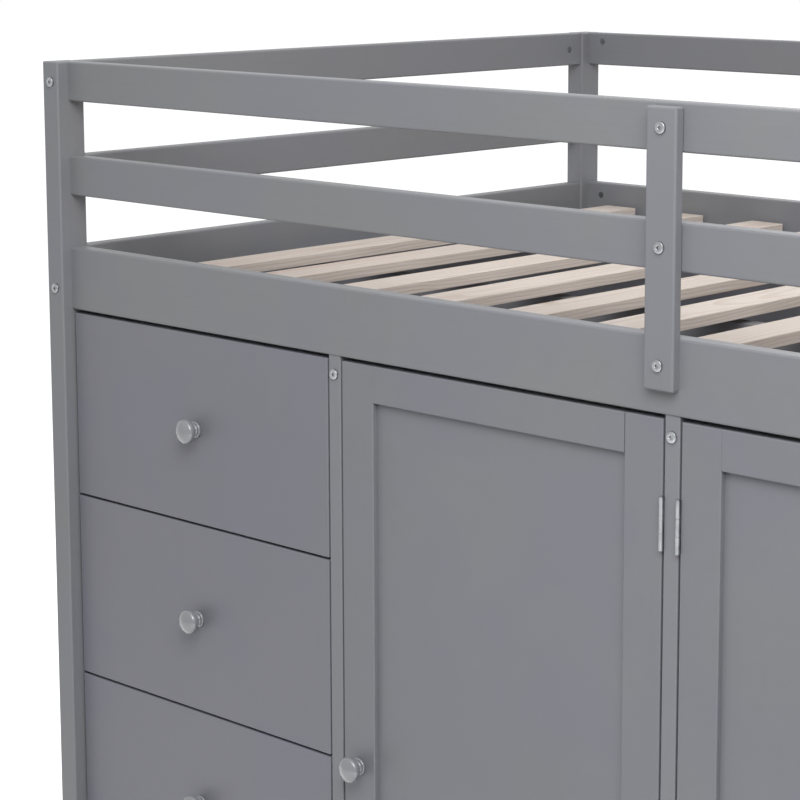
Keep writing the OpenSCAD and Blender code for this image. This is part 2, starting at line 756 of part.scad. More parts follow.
box_rise = 30;
runner_rise = 60;
box_w = bay_w - 2 * box_gap;
bottom_rise = 10;
module at_drawer(n) {
  translate([bay_x(0), y_cabinet, drawer_z(n)]) children();
}
module knob_place(x, z) {
  translate([x, y_cabinet, z]) rotate([90, 0, 0]) children();
}
module knob_screw_hole() {
  translate([0, 0, -front_t - 1]) cylinder(h = front_t + 2, d = knob_screw_d + 2 * hole_clear);
}
module drawer_front(n) {
  difference() {
    eased_bar([bay_x(0) + side_gap, y_cabinet, drawer_z(n)], [front_w, front_t, drawer_h], 1.5);
    knob_place(bay_x(0) + bay_w / 2, drawer_z(n) + drawer_h / 2) knob_screw_hole();
  }
}
module drawer_side() {
  difference() {
    board([box_gap, front_t, box_rise], [box_t, box_l, box_h]);
    board([box_gap - eps, front_t + 5, box_rise + runner_rise - 0.7],
      [runner_groove + eps, box_l, runner_h + 0.7 + slide_clear]);
    board([box_gap + box_t - box_groove, front_t - eps, box_rise + bottom_rise - joint_gap],
      [box_groove + eps, box_l + 2 * eps, box_bottom_t + 2 * joint_gap]);
  }
}
module drawer_box(n) {
  back_z = box_rise + bottom_rise + box_bottom_t + joint_gap;
  at_drawer(n) {
    drawer_side();
    translate([bay_w, 0, 0]) mirror([1, 0, 0]) drawer_side();
    board([box_gap + box_t + joint_gap, front_t + box_l - box_t, back_z],
      [box_w - 2 * box_t - 2 * joint_gap, box_t, box_rise + box_h - back_z]);
    board([box_gap + box_t - box_groove + joint_gap, front_t, box_rise + bottom_rise],
      [box_w - 2 * (box_t - box_groove + joint_gap), box_l, box_bottom_t]);
  }
}

// A turned knob: a beaded foot, a neck and a domed head, with its screw
module knob() {
  bead_r = knob_l * 0.08;
  foot_r = knob_d * 0.34;
  neck_r = knob_d * 0.2;
  neck_z = knob_l * 0.38;
  rim_r = knob_l * 0.12;
  rim_z = knob_l * 0.66;
  face_z = knob_l * 0.82;
  profile = concat(
    [[0, 0]],
    arc(foot_r - bead_r, bead_r, bead_r, -90, 80, 6),
    [[neck_r, knob_l * 0.24], [neck_r, neck_z]],
    arc(knob_d / 2 - rim_r, rim_z, rim_r, -60, 0, 3),
    arc(knob_d / 2 - rim_r, face_z, rim_r, 0, 60, 3),
    [[knob_d * 0.26, knob_l * 0.965], [knob_d * 0.12, knob_l * 0.99], [0, knob_l]]);
  difference() {
    rotate_extrude() polygon(profile);
    translate([0, 0, -eps]) cylinder(h = knob_screw_reach + 1, d = knob_screw_d + 2 * pin_clear);
  }
  translate([0, 0, -front_t - knob_screw_head_h])
    cylinder(h = knob_screw_head_h, d = knob_screw_head_d);
  translate([0, 0, -front_t - eps])
    cylinder(h = front_t + knob_screw_reach, d = knob_screw_d);
}
module drawer_knob(n) {
  knob_place(bay_x(0) + bay_w / 2, drawer_z(n) + drawer_h / 2) knob();
}

module drawer_1_front() color(front_paint) drawer_front(1);
module drawer_2_front() color(front_paint) drawer_front(2);
module drawer_3_front() color(front_paint) drawer_front(3);
module drawer_4_front() color(front_paint) drawer_front(4);
module drawer_1_box() color(birch) drawer_box(1);
module drawer_2_box() color(birch) drawer_box(2);
module drawer_3_box() color(birch) drawer_box(3);
module drawer_4_box() color(birch) drawer_box(4);
module drawer_1_knob() color(paint) drawer_knob(1);
module drawer_2_knob() color(paint) drawer_knob(2);
module drawer_3_knob() color(paint) drawer_knob(3);
module drawer_4_knob() color(paint) drawer_knob(4);

// Doors, drawn as the left one. The right one is its mirror image about the door divider.

x_divider = bay_x(2) - panel_t / 2;
x_left_door = bay_x(1) + side_gap;
x_pin = bay_x(2) - panel_t - side_gap / 2;
y_pin = y_cabinet - knuckle_d / 2 - 0.1;

module as_right_door() {
  translate([x_divider, 0, 0]) mirror([1, 0, 0]) translate([-x_divider, 0, 0]) children();
}
module door_knob_place() {
  knob_place(x_left_door + door_stile_w / 2, z_door + door_h / 2) children();
}
module door_panel_space(clear) {
  board([x_left_door + door_stile_w - door_groove - clear,
         y_cabinet + door_panel_recess - clear,
         z_door + door_rail_h - door_groove - clear],
    [front_w - 2 * (door_stile_w - door_groove - clear),
     door_panel_t + 2 * clear,
     door_h - 2 * (door_rail_h - door_groove - clear)]);
}
module door_frame() {
  rail_w = front_w - 2 * door_stile_w - 2 * joint_gap;
  difference() {
    union() {
      for (x = [x_left_door, x_left_door + front_w - door_stile_w])
        eased_bar([x, y_cabinet, z_door], [door_stile_w, front_t, door_h], 1.5);
      for (z = [z_door, z_door + door_h - door_rail_h])
        bar_x([x_left_door + door_stile_w + joint_gap, y_cabinet, z], [rail_w, front_t, door_rail_h], 1.5);
    }
    door_panel_space(joint_gap);
    door_knob_place() knob_screw_hole();
    door_hinge_screws() hinge_screw_hole();
  }
}
module door_hinge_z() {
  for (z = [z_door + hinge_inset, z_door + door_h - hinge_inset - hinge_h])
    translate([x_pin, y_pin, z]) children();
}
knuckle_h = hinge_h / 3;
leaf_reach = y_cabinet - y_pin + 0.4;
// Screws of the leaf on the side that side names: -1 is the door's
module leaf_screw_places(side) {
  door_hinge_z() for (z = [0.15, 0.5, 0.85] * hinge_h)
    translate([side * (side_gap / 2 - leaf_t), leaf_reach + leaf_d * 0.6, z])
      rotate([0, -90 * side, 0]) children();
}
module door_hinge_screws() leaf_screw_places(-1) children();
module fixed_hinge_screws() leaf_screw_places(1) children();
// One leaf with its knuckles
module hinge_leaf(side, knuckles) {
  x = side < 0 ? -side_gap / 2 : side_gap / 2 - leaf_t;
  difference() {
    union() {
      translate([x, leaf_reach, 0]) cube([leaf_t, leaf_d, hinge_h]);
      for (k = knuckles) translate([0, 0, k * knuckle_h + knuckle_clear / 2]) {
        cylinder(h = knuckle_h - knuckle_clear, d = knuckle_d);
        translate([x, 0, 0]) cube([leaf_t, leaf_reach + eps, knuckle_h - knuckle_clear]);
      }
    }
    translate([0, 0, -1]) cylinder(h = hinge_h + 2, d = hinge_pin_d + 2 * pin_clear);
  }
}
module hinge_pin() {
  cylinder(h = hinge_h, d = hinge_pin_d);
  translate([0, 0, hinge_h - knuckle_clear / 2]) cylinder(h = pin_head_h, d = knuckle_d * 0.8);
}
module door_hinges() {
  difference() {
    door_hinge_z() hinge_leaf(-1, [1]);
    door_hinge_screws() hinge_screw_hole();
  }
  door_hinge_screws() hinge_screw();
}
module fixed_hinges() {
  difference() {
    door_hinge_z() {
      hinge_leaf(1, [0, 2]);
      hinge_pin();
    }
    fixed_hinge_screws() hinge_screw_hole();
  }
  fixed_hinge_screws() hinge_screw();
}

module left_door_frame() color(front_paint) door_frame();
module right_door_frame() color(front_paint) as_right_door() door_frame();
module left_door_panel() color(front_paint) door_panel_space(0);
module right_door_panel() color(front_paint) as_right_door() door_panel_space(0);
module left_door_knob() color(paint) door_knob_place() knob();
module right_door_knob() color(paint) as_right_door() door_knob_place() knob();
module left_door_hinges() color(steel) door_hinges();
module right_door_hinges() color(steel) as_right_door() door_hinges();
module divider_hinges() color(steel) {
  fixed_hinges();
  as_right_door() fixed_hinges();
}

// Ladder

module ladder_rails() color(paint) difference() {
  for (x = [x_ladder, x_ladder + ladder_w - ladder_rail_t])
    eased_bar([x, y_side - ladder_rail_d, glide_h], [ladder_rail_t, ladder_rail_d, z_side - glide_h]);
  at_ladder_bolts() bolt_hole(ladder_bolt_l + 1);
  at_tread_bolts() bolt_hole(tread_bolt_l + 1);
}
module ladder_treads() color(paint) difference() {
  for (k = [1:tread_count])
    bar_x([x_ladder + ladder_rail_t, y_side - ladder_rail_d + 3, k * step_rise - tread_t],
      [ladder_w - 2 * ladder_rail_t, ladder_rail_d - 6, tread_t]);
  at_tread_bolts() bolt_hole(tread_bolt_l + 1);
}

front_left_post();
front_right_post();
back_left_post();
back_right_post();
front_top_guard_rail();
front_middle_guard_rail();
back_top_guard_rail();
back_middle_guard_rail();
left_end_guard_rails();
right_end_guard_rails();
left_end_side_rail();
right_end_side_rail();
front_side_rail();
back_side_rail();
middle_upright();
entry_upright();
slat_ledgers();
slat_beam();
slats();
wood_screws();
frame_bolts();
barrel_nuts();
foot_glides();
left_side_panel();
drawer_divider();
door_divider();
shelf_divider();
right_side_panel();
front_stiles();
cabinet_tops();
cabinet_floor();
back_boards();
cabinet_base_rails();
end_base_rails();
drawer_runners();
drawer_1_front();
drawer_1_box();
drawer_1_knob();
drawer_2_front();
drawer_2_box();
drawer_2_knob();
drawer_3_front();
drawer_3_box();
drawer_3_knob();
drawer_4_front();
drawer_4_box();
drawer_4_knob();
left_door_frame();
left_door_panel();
left_door_knob();
left_door_hinges();
right_door_frame();
right_door_panel();
right_door_knob();
right_door_hinges();
divider_hinges();
shelves();
shelf_pins();
ladder_rails();
ladder_treads();
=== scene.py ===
"""Finishes of the loft bed: its paint, bare pine, turned knobs, bolts and studio."""

import math

import bpy
import numpy as np
from bpy.props import FloatProperty, FloatVectorProperty, IntProperty, PointerProperty
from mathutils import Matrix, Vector


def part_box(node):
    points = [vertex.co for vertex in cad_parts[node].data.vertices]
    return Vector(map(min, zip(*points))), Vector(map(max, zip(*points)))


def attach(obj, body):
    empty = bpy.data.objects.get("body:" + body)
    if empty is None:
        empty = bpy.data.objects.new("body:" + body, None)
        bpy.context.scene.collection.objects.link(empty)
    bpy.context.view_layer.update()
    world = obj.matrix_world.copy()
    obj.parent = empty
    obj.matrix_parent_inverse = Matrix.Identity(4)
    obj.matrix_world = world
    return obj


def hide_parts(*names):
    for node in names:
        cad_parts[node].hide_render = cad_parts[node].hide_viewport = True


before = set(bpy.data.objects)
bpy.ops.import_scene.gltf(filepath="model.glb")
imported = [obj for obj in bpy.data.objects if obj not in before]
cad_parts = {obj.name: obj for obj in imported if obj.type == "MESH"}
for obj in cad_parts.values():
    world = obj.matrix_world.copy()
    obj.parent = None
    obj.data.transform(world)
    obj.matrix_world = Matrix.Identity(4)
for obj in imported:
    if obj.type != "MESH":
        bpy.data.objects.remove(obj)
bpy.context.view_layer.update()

bl_info = {
    "name": "Loft Bed Finishes",
    "version": (1, 0, 0),
    "blender": (4, 5, 0),
    "location": "View3D > Sidebar > Loft Bed",
    "description": "Paints and dresses the loft bed's frame, cabinets, slats and hardware",
    "category": "Object",
}

X, Y, Z = 0, 1, 2

# The pieces by the way that their timber runs
TIMBER_ALONG_X = [
    "front_top_guard_rail", "front_middle_guard_rail", "back_top_guard_rail",
    "back_middle_guard_rail", "front_side_rail", "back_side_rail", "slat_ledgers", "slat_beam",
    "cabinet_base_rails", "ladder_treads",
]
TIMBER_ALONG_Y = [
    "left_end_guard_rails", "right_end_guard_rails", "left_end_side_rail", "right_end_side_rail",
    "end_base_rails",
]
TIMBER_ALONG_Z = [
    "front_left_post", "front_right_post", "back_left_post", "back_right_post",
    "middle_upright", "entry_upright", "ladder_rails",
]
PANELS = [
    "left_side_panel", "right_side_panel", "drawer_divider", "door_divider", "shelf_divider",
    "front_stiles", "cabinet_tops", "cabinet_floor", "back_boards", "shelves",
]
DRAWERS = ["drawer_1", "drawer_2", "drawer_3", "drawer_4"]
DOORS = ["left_door", "right_door"]
STEEL = [
    "wood_screws", "barrel_nuts", "shelf_pins", "divider_hinges", "left_door_hinges",
    "right_door_hinges",
]

# Fineness of the patterns, in features per metre
PAINT_CLOUDS = 2.3
PAINT_COOL_PATCHES = 7.0
PAINT_FLECKS = 38.0
PAINT_STIPPLE = 620.0
BIRCH_CLOUDS = 6.0
ZINC_CLOUDS = 90.0
ZINC_MARKS = 900.0
NYLON_TEXTURE = 1400.0

# Fineness of the patterns that run with the grain, in features per metre across it and along it
TIMBER_FIBRES = (210.0, 4.0)
PINE_FIBRES = (520.0, 9.0)
PINE_STREAKS = (34.0, 1.3)
PINE_DRIFT = (6.0, 1.6)
BIRCH_FIBRES = (260.0, 9.0)

# Depth of the finishes' relief, in metres
PINE_FIBRE_DEPTH = 0.00008
PINE_RING_DEPTH = 0.00006
BIRCH_FIBRE_DEPTH = 0.00005
ZINC_MARK_DEPTH = 0.00002
NYLON_TEXTURE_DEPTH = 0.00003

# The paint: the share of flecks in its clouds, the tint of its cool patches, how much its gloss
# varies, and how much the fibres under it darken it
PAINT_FLECK_SHARE = 0.35
PAINT_COOL_TINT = (0.975, 0.98, 1.05)
PAINT_GLOSS_SPREAD = 0.07
PAINT_FIBRE_SHADE = 0.75
PAINT_FIBRE_SHARE = 0.07

# How strongly the parts of the pine's figure show, from 0 to 1
RING_SHARE = 0.34
STREAK_SHARE = 0.5
FIBRE_SHARE = 0.22
HALO_SHARE = 0.45
KNOT_SHARE = 0.9

# The slats' hearts, in metres: the width of the band that they lie in, how far they lie under a
# slat's top, and how far they drift along it. The slats lie SLATS_APART in the pattern.
HEART_BAND = 0.11
HEART_DEPTH = (0.022, 0.092)
HEART_DRIFT = 0.05
SLATS_APART = (7.0, 31.0, 5.0)

# The knots: the shape of their patches, the share of patches without one, and the range of their
# sizes. In metres: how far a knot bends the rings and by how much, where its halo starts to fade
# and where it ends, and the width of its soft edge. Its own rings are a sine of the distance.
KNOT_PATCH = (1.0, 0.72, 0.0)
KNOTLESS = 0.45
KNOT_SIZES = (0.45, 1.35)
KNOT_BEND_REACH = 0.03
KNOT_BEND = 0.006
KNOT_HALO = (0.006, 0.024)
KNOT_EDGE = 0.0022
KNOT_RINGS = 3800.0

# A knob's stretches as shares of its length, and the slope that its dome starts with
KNOB_BEAD = 0.08
KNOB_NECK_HEIGHT = 0.36
KNOB_CAP_STRAIGHT = 0.03
KNOB_RIM = 0.2
KNOB_DOME_SLOPE = math.radians(35)

# Small sizes of the knobs' screws and the bolts, in metres
SCREW_SHANK_RADIUS = 0.002
SCREW_HEAD_RADIUS = 0.0045
SCREW_HEAD_HEIGHT = 0.0025
BOLT_ROUND_EDGE = 0.0009
BOLT_CROWN = 0.00025
BOLT_MOUTH_CHAMFER = 0.0005
BOLT_SOCKET_DEPTH = 0.002
BOLT_TIP_BEVEL = 0.0008

# Points on each arc of an outline, both ends counted
KNOB_ARC_POINTS = 12
BOLT_ARC_POINTS = 7
SCREW_ARC_POINTS = 6

# Edges sharper than this stay sharp, in degrees
CREASE = 35.0
KNOB_CREASE = 50.0

# Each lamp's place, the point that it faces and its width
LAMPS = {
    "key": ((1.6, -1.9, 2.9), (0.2, -0.4, 1.0), 1.8),
    "fill": ((0.5, -1.9, 2.5), (0.2, -0.5, 1.0), 1.4),
    "rear": ((-1.2, 3.2, 2.2), (0.0, 0.5, 0.7), 2.0),
    "top": ((-0.2, -0.2, 3.6), (0.0, 0.0, 1.0), 3.0),
}


class PaintSettings(bpy.types.PropertyGroup):
    """Colours and surface of the grey paint."""

    timber: FloatVectorProperty(
        name="Timber", description="Paint on the posts, rails and ladder",
        subtype="COLOR", size=3, default=(0.222, 0.225, 0.235), min=0, max=1)
    panel: FloatVectorProperty(
        name="Panels", description="Paint on the cabinets' panels and shelves",
        subtype="COLOR", size=3, default=(0.228, 0.23, 0.247), min=0, max=1)
    drawer: FloatVectorProperty(
        name="Drawers", description="Paint on the drawer fronts",
        subtype="COLOR", size=3, default=(0.203, 0.204, 0.2305), min=0, max=1)
    door: FloatVectorProperty(
        name="Doors", description="Paint on the doors",
        subtype="COLOR", size=3, default=(0.209, 0.211, 0.2285), min=0, max=1)
    knob: FloatVectorProperty(
        name="Knobs", description="Paint on the knobs",
        subtype="COLOR", size=3, default=(0.225, 0.227, 0.245), min=0, max=1)
    roughness: FloatProperty(
        name="Roughness", description="How matt the paint is",
        subtype="FACTOR", default=0.46, min=0.1, max=1)
    knob_roughness: FloatProperty(
        name="Knob roughness", description="How matt the paint on the knobs is",
        subtype="FACTOR", default=0.24, min=0.1, max=1)
    knob_coat: FloatProperty(
        name="Knob gloss", description="Share of a glossy topcoat on the knobs",
        subtype="FACTOR", default=1.0, min=0, max=1)
    grain_depth: FloatProperty(
        name="Grain depth", description="How deep the timber's grain shows through the paint",
        unit="LENGTH", default=0.00003, min=0, max=0.001, precision=5)
    stipple_depth: FloatProperty(
        name="Stipple depth", description="Height of the roller's stipple",
        unit="LENGTH", default=0.00003, min=0, max=0.001, precision=5)


class PineSettings(bpy.types.PropertyGroup):
    """Colours and figure of the bare slats and the drawer boxes."""

    early: FloatVectorProperty(
        name="Early wood", description="Pale part of the pine's rings",
        subtype="COLOR", size=3, default=(0.77, 0.685, 0.625), min=0, max=1)
    late: FloatVectorProperty(
        name="Late wood", description="Dark part of the pine's rings",
        subtype="COLOR", size=3, default=(0.50, 0.38, 0.275), min=0, max=1)
    heart: FloatVectorProperty(
        name="Heart wood", description="Warm streaks in the pine",
        subtype="COLOR", size=3, default=(0.62, 0.44, 0.36), min=0, max=1)
    knot: FloatVectorProperty(
        name="Knots", description="Middle of a knot",
        subtype="COLOR", size=3, default=(0.24, 0.13, 0.075), min=0, max=1)
    birch: FloatVectorProperty(
        name="Birch", description="Drawer boxes and runners",
        subtype="COLOR", size=3, default=(0.62, 0.49, 0.35), min=0, max=1)
    ring_width: FloatProperty(
        name="Ring width", description="Width of a growth ring",
        unit="LENGTH", default=0.0042, min=0.001, max=0.02)
    knot_spacing: FloatProperty(
        name="Knot spacing", description="Size of the patch of slat that holds one knot",
        unit="LENGTH", default=0.15, min=0.05, max=1)
    knot_radius: FloatProperty(
        name="Knot radius", description="Radius of a knot",
        unit="LENGTH", default=0.0075, min=0.002, max=0.03)


class HardwareSettings(bpy.types.PropertyGroup):
    """Sizes and colours of the knobs, bolts and glides."""

    steel: FloatVectorProperty(
        name="Steel", description="Bolts, hinges, nuts, screws and shelf pins",
        subtype="COLOR", size=3, default=(0.33, 0.34, 0.35), min=0, max=1)
    nylon: FloatVectorProperty(
        name="Nylon", description="Foot glides",
        subtype="COLOR", size=3, default=(0.03, 0.03, 0.033), min=0, max=1)
    knob_length: FloatProperty(
        name="Knob length", description="How far a knob stands out",
        unit="LENGTH", default=0.026, min=0.01, max=0.06)
    knob_foot: FloatProperty(
        name="Knob foot", description="Width of a knob where it meets the front",
        unit="LENGTH", default=0.021, min=0.008, max=0.03)
    knob_neck: FloatProperty(
        name="Knob neck", description="Width of a knob's neck",
        unit="LENGTH", default=0.0124, min=0.006, max=0.03)
    bolt_head: FloatProperty(
        name="Bolt head", description="Height of a bolt's domed head",
        unit="LENGTH", default=0.003, min=0.001, max=0.01)
    bolt_socket: FloatProperty(
        name="Bolt socket", description="Width of a bolt's socket across its corners",
        unit="LENGTH", default=0.0046, min=0.001, max=0.01)
    steps: IntProperty(
        name="Steps", description="Facets round a knob or a bolt",
        default=48, min=12, max=128)
    screw_steps: IntProperty(
        name="Screw steps", description="Facets round a knob's screw",
        default=24, min=12, max=128)


class StageSettings(bpy.types.PropertyGroup):
    """Camera, lamps and floor."""

    camera_place: FloatVectorProperty(
        name="Camera", description="Where the camera stands",
        subtype="XYZ", size=3, default=(1.4364, -2.3637, 1.5519))
    camera_turn: FloatProperty(
        name="Turn", description="How far the camera turns left of straight across the bed",
        subtype="ANGLE", default=math.radians(42.93))
    camera_tilt: FloatProperty(
        name="Tilt", description="How far the camera looks down",
        subtype="ANGLE", default=math.radians(8.735))
    lens: FloatProperty(
        name="Lens", description="Focal length of the camera in millimetres",
        default=106.594, min=10, max=500)
    sensor: FloatProperty(
        name="Sensor", description="Width of the camera's sensor in millimetres",
        default=36.0, min=1)
    shift: FloatVectorProperty(
        name="Shift", description="Shift of the lens, for a picture that is part of a larger one",
        size=2, default=(-0.07, -0.15))
    floor_size: FloatProperty(
        name="Floor", description="Width of the floor",
        unit="LENGTH", default=60.0, min=5)
    floor_tint: FloatProperty(
        name="Floor tint", description="Share of the light that the floor sends back",
        subtype="FACTOR", default=0.5, min=0, max=1)
    floor_glow: FloatProperty(
        name="Floor glow", description="How many times brighter than that the camera sees it",
        default=4.6, min=1)
    key_power: FloatProperty(
        name="Key lamp", description="Power of the lamp before the bed's right half, in watts",
        default=48.5, min=0)
    fill_power: FloatProperty(
        name="Fill lamp", description="Power of the lamp before the bed's middle, in watts",
        default=18.8, min=0)
    rear_power: FloatProperty(
        name="Rear lamp", description="Power of the lamp behind the bed, in watts",
        default=22.0, min=0)
    top_power: FloatProperty(
        name="Top lamp", description="Power of the lamp over the bed, in watts",
        default=13.0, min=0)
    air: FloatProperty(
        name="Air", description="Strength of the light from all round",
        default=0.47, min=0)


def rgba(colour, factor=1.0):
    """A colour as four numbers, lighter or darker by a factor."""
    return [min(1.0, part * factor) for part in colour] + [1.0]


class Recipe:
    """A material under construction, with short calls that add nodes and join them."""

    def __init__(self, owner):
        """owner is the name of a new material, or a world."""
        self.material = bpy.data.materials.new(owner) if isinstance(owner, str) else owner
        self.material.use_nodes = True
        self.tree = self.material.node_tree
        self.tree.nodes.clear()
        self.place = self.add("TexCoord").outputs["Object"]

    def add(self, kind, inputs=None, **settings):
        """A new node with its settings, and with its inputs fed."""
        node = self.tree.nodes.new("ShaderNode" + kind)
        for name, value in settings.items():
            setattr(node, name, value)
        for key, value in (inputs or {}).items():
            self.feed(node.inputs[key], value)
        return node

    def feed(self, socket, value):
        """Joins another node's output to a socket, or sets the socket to a plain value."""
        if isinstance(value, bpy.types.NodeSocket):
            self.tree.links.new(value, socket)
        else:
            socket.default_value = value

    def math(self, operation, *values):
        node = self.add("Math", operation=operation)
        for socket, value in zip(node.inputs, values):
            self.feed(socket, value)
        return node.outputs[0]

    def scaled(self, vector, scale):
        return self.add("VectorMath", {0: vector, 1: scale}, operation="MULTIPLY").outputs[0]

    def moved(self, vector, offset):
        return self.add("VectorMath", {0: vector, 1: offset}, operation="ADD").outputs[0]

    def joined(self, x, y, z):
        return self.add("CombineXYZ", {0: x, 1: y, 2: z}).outputs[0]

    def parted(self, colour):
        return self.add("SeparateColor", {0: colour}).outputs

    def noise(self, vector, scale, detail=2.0, roughness=0.5):
        node = self.add("TexNoise", {"Vector": vector, "Scale": scale, "Detail": detail,
                                     "Roughness": roughness})
        return node.outputs["Fac"]

    def grain(self, vector, fineness, along, detail=2.0, roughness=0.5):
        """Noise that is drawn out along axis number along. fineness is across and along it."""
        stretch = [fineness[0]] * 3
        stretch[along] = fineness[1]
        return self.noise(self.scaled(vector, stretch), 1.0, detail, roughness)

    def steps(self, value, low, high, start=0.0, end=1.0):
        """value's rise from low to high, smoothed, as a rise from start to end."""
        node = self.add("MapRange", {"Value": value, "From Min": low, "From Max": high,
                                     "To Min": start, "To Max": end},
                        interpolation_type="SMOOTHSTEP")
        return node.outputs["Result"]

    def between(self, value, low, high):
        """low to high, as value goes from 0 to 1."""
        return self.math("MULTIPLY_ADD", value, high - low, low)

    def blend(self, factor, first, second, kind="MIX"):
        node = self.add("Mix", data_type="RGBA", blend_type=kind)
        self.feed(node.inputs["Factor"], factor)
        self.feed(node.inputs[6], first)
        self.feed(node.inputs[7], second)
        return node.outputs[2]

    def mottle(self, value, colour, dark, light):
        """colour times dark to colour times light, as value rises through its middle."""
        return self.blend(self.steps(value, 0.3, 0.7), rgba(colour, dark), rgba(colour, light))

    def bump(self, height, distance, normal=None):
        node = self.add("Bump", {"Height": height, "Distance": distance, "Strength": 1.0})
        if normal is not None:
            self.feed(node.inputs["Normal"], normal)
        return node.outputs["Normal"]

    def background_rays(self):
        """1 for the camera's rays and for those that metal and glass send on, otherwise 0."""
        path = self.add("LightPath")
        sent_on = self.math("MAXIMUM", path.outputs["Is Glossy Ray"],
                            path.outputs["Is Transmission Ray"])
        return self.math("MAXIMUM", path.outputs["Is Camera Ray"], sent_on)

    def surface(self, **inputs):
        """Ends the material with one shader. A colour or number that is the same all over goes
        straight into its socket."""
        named = {key.replace("_", " "): value for key, value in inputs.items()}
        shader = self.add("BsdfPrincipled", named)
        self.add("OutputMaterial", {"Surface": shader.outputs[0]}, target="ALL")
        return self.material


def paint(name, colour, along=None, roughness=None, coat=0.0):
    """Satin paint. It has faint clouds and a roller's stipple, and over timber that runs along
    axis number along, long fibres that the paint doesn't quite fill. coat is the share of a
    glossy topcoat."""
    settings = bpy.context.scene.bed_paint
    roughness = roughness or settings.roughness
    r = Recipe(name)
    cloud = r.noise(r.place, PAINT_CLOUDS, detail=3)
    fleck = r.noise(r.place, PAINT_FLECKS, detail=3, roughness=0.6)
    tone = r.math("MULTIPLY_ADD", fleck, PAINT_FLECK_SHARE,
                  r.math("MULTIPLY", cloud, 1 - PAINT_FLECK_SHARE))
    tint = r.mottle(tone, colour, 0.96, 1.035)
    cool = rgba([part * share for part, share in zip(colour, PAINT_COOL_TINT)])
    patches = r.steps(r.noise(r.place, PAINT_COOL_PATCHES), 0.42, 0.62, 0.0, 0.7)
    tint = r.blend(patches, tint, cool)
    normal = r.bump(r.noise(r.place, PAINT_STIPPLE), settings.stipple_depth)
    if along is not None:
        fibre = r.grain(r.place, TIMBER_FIBRES, along, detail=5, roughness=0.62)
        normal = r.bump(r.steps(fibre, 0.36, 0.62), settings.grain_depth, normal)
        shade = r.math("MULTIPLY", r.steps(fibre, 0.5, 0.3), PAINT_FIBRE_SHARE)
        tint = r.blend(shade, tint, rgba(colour, PAINT_FIBRE_SHADE))
    rough = r.between(fleck, roughness - PAINT_GLOSS_SPREAD, roughness + PAINT_GLOSS_SPREAD)
    return r.surface(Base_Color=tint, Roughness=rough, Normal=normal, Specular_IOR_Level=0.42,
                     Coat_Weight=coat, Coat_Roughness=0.08)


def slat_pattern_place(r):
    """A point's distance from the middle of its own slat, its height, three random numbers of the
    slat, and a place for the slat's pattern that is far from the other slats'. A slat's number is
    how many pitches it lies from the first one."""
    middles = np.sort([(low[X] + high[X]) / 2 for low, high in solid_boxes("slats")])
    pitch = float((middles[-1] - middles[0]) / (len(middles) - 1))
    start = float(middles[0]) - pitch / 2
    x, y, z = r.add("SeparateXYZ", {0: r.place}).outputs
    count = r.math("DIVIDE", r.math("SUBTRACT", x, start), pitch)
    across = r.math("MULTIPLY", r.math("SUBTRACT", r.math("FRACT", count), 0.5), pitch)
    dice = r.add("TexWhiteNoise", {"W": r.math("FLOOR", count)}, noise_dimensions="1D")
    rolled = dice.outputs["Color"]
    own = r.moved(r.joined(across, y, z), r.scaled(rolled, SLATS_APART))
    return across, z, r.parted(rolled), own


def slat_knots(r, own):
    """A point's distance from the nearest knot's middle, that knot's radius, and 1 where the patch
    of slat has its knot or 0 where it has none."""
    settings = bpy.context.scene.bed_pine
    patches = r.add("TexVoronoi", {"Vector": r.scaled(own, KNOT_PATCH),
                                   "Scale": 1.0 / settings.knot_spacing}, voronoi_dimensions="2D")
    reach = r.math("MULTIPLY", patches.outputs["Distance"], settings.knot_spacing)
    lot = r.parted(patches.outputs["Color"])
    radius = r.math("MULTIPLY", settings.knot_radius, r.between(lot[1], *KNOT_SIZES))
    return reach, radius, r.math("GREATER_THAN", lot[0], KNOTLESS)


def slat_rings(r, across, height, roll, own, swell):
    """Late wood, from 0 to 1. A ring's number is the distance from the slat's heart, bent by slow
    noise along the slat and by swell round a knot, divided by the ring width. Late wood grows
    over the ring's second half and ends sharply."""
    settings = bpy.context.scene.bed_pine
    top = float(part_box("slats")[1][Z])
    heart = r.math("MULTIPLY", r.math("SUBTRACT", roll[0], 0.5), HEART_BAND)
    depth = r.between(roll[1], *HEART_DEPTH)
    above_heart = r.math("ADD", r.math("SUBTRACT", height, top), depth)
    drift = r.grain(own, PINE_DRIFT, Y, detail=3, roughness=0.55)
    bent = r.math("MULTIPLY_ADD", drift, HEART_DRIFT, above_heart)
    from_heart = r.joined(r.math("SUBTRACT", across, heart), 0.0, bent)
    span = r.add("VectorMath", {0: from_heart}, operation="LENGTH").outputs["Value"]
    ring = r.math("FRACT", r.math("DIVIDE", r.math("ADD", span, swell), settings.ring_width))
    return r.math("MULTIPLY", r.steps(ring, 0.35, 0.86), r.steps(ring, 1.0, 0.93))


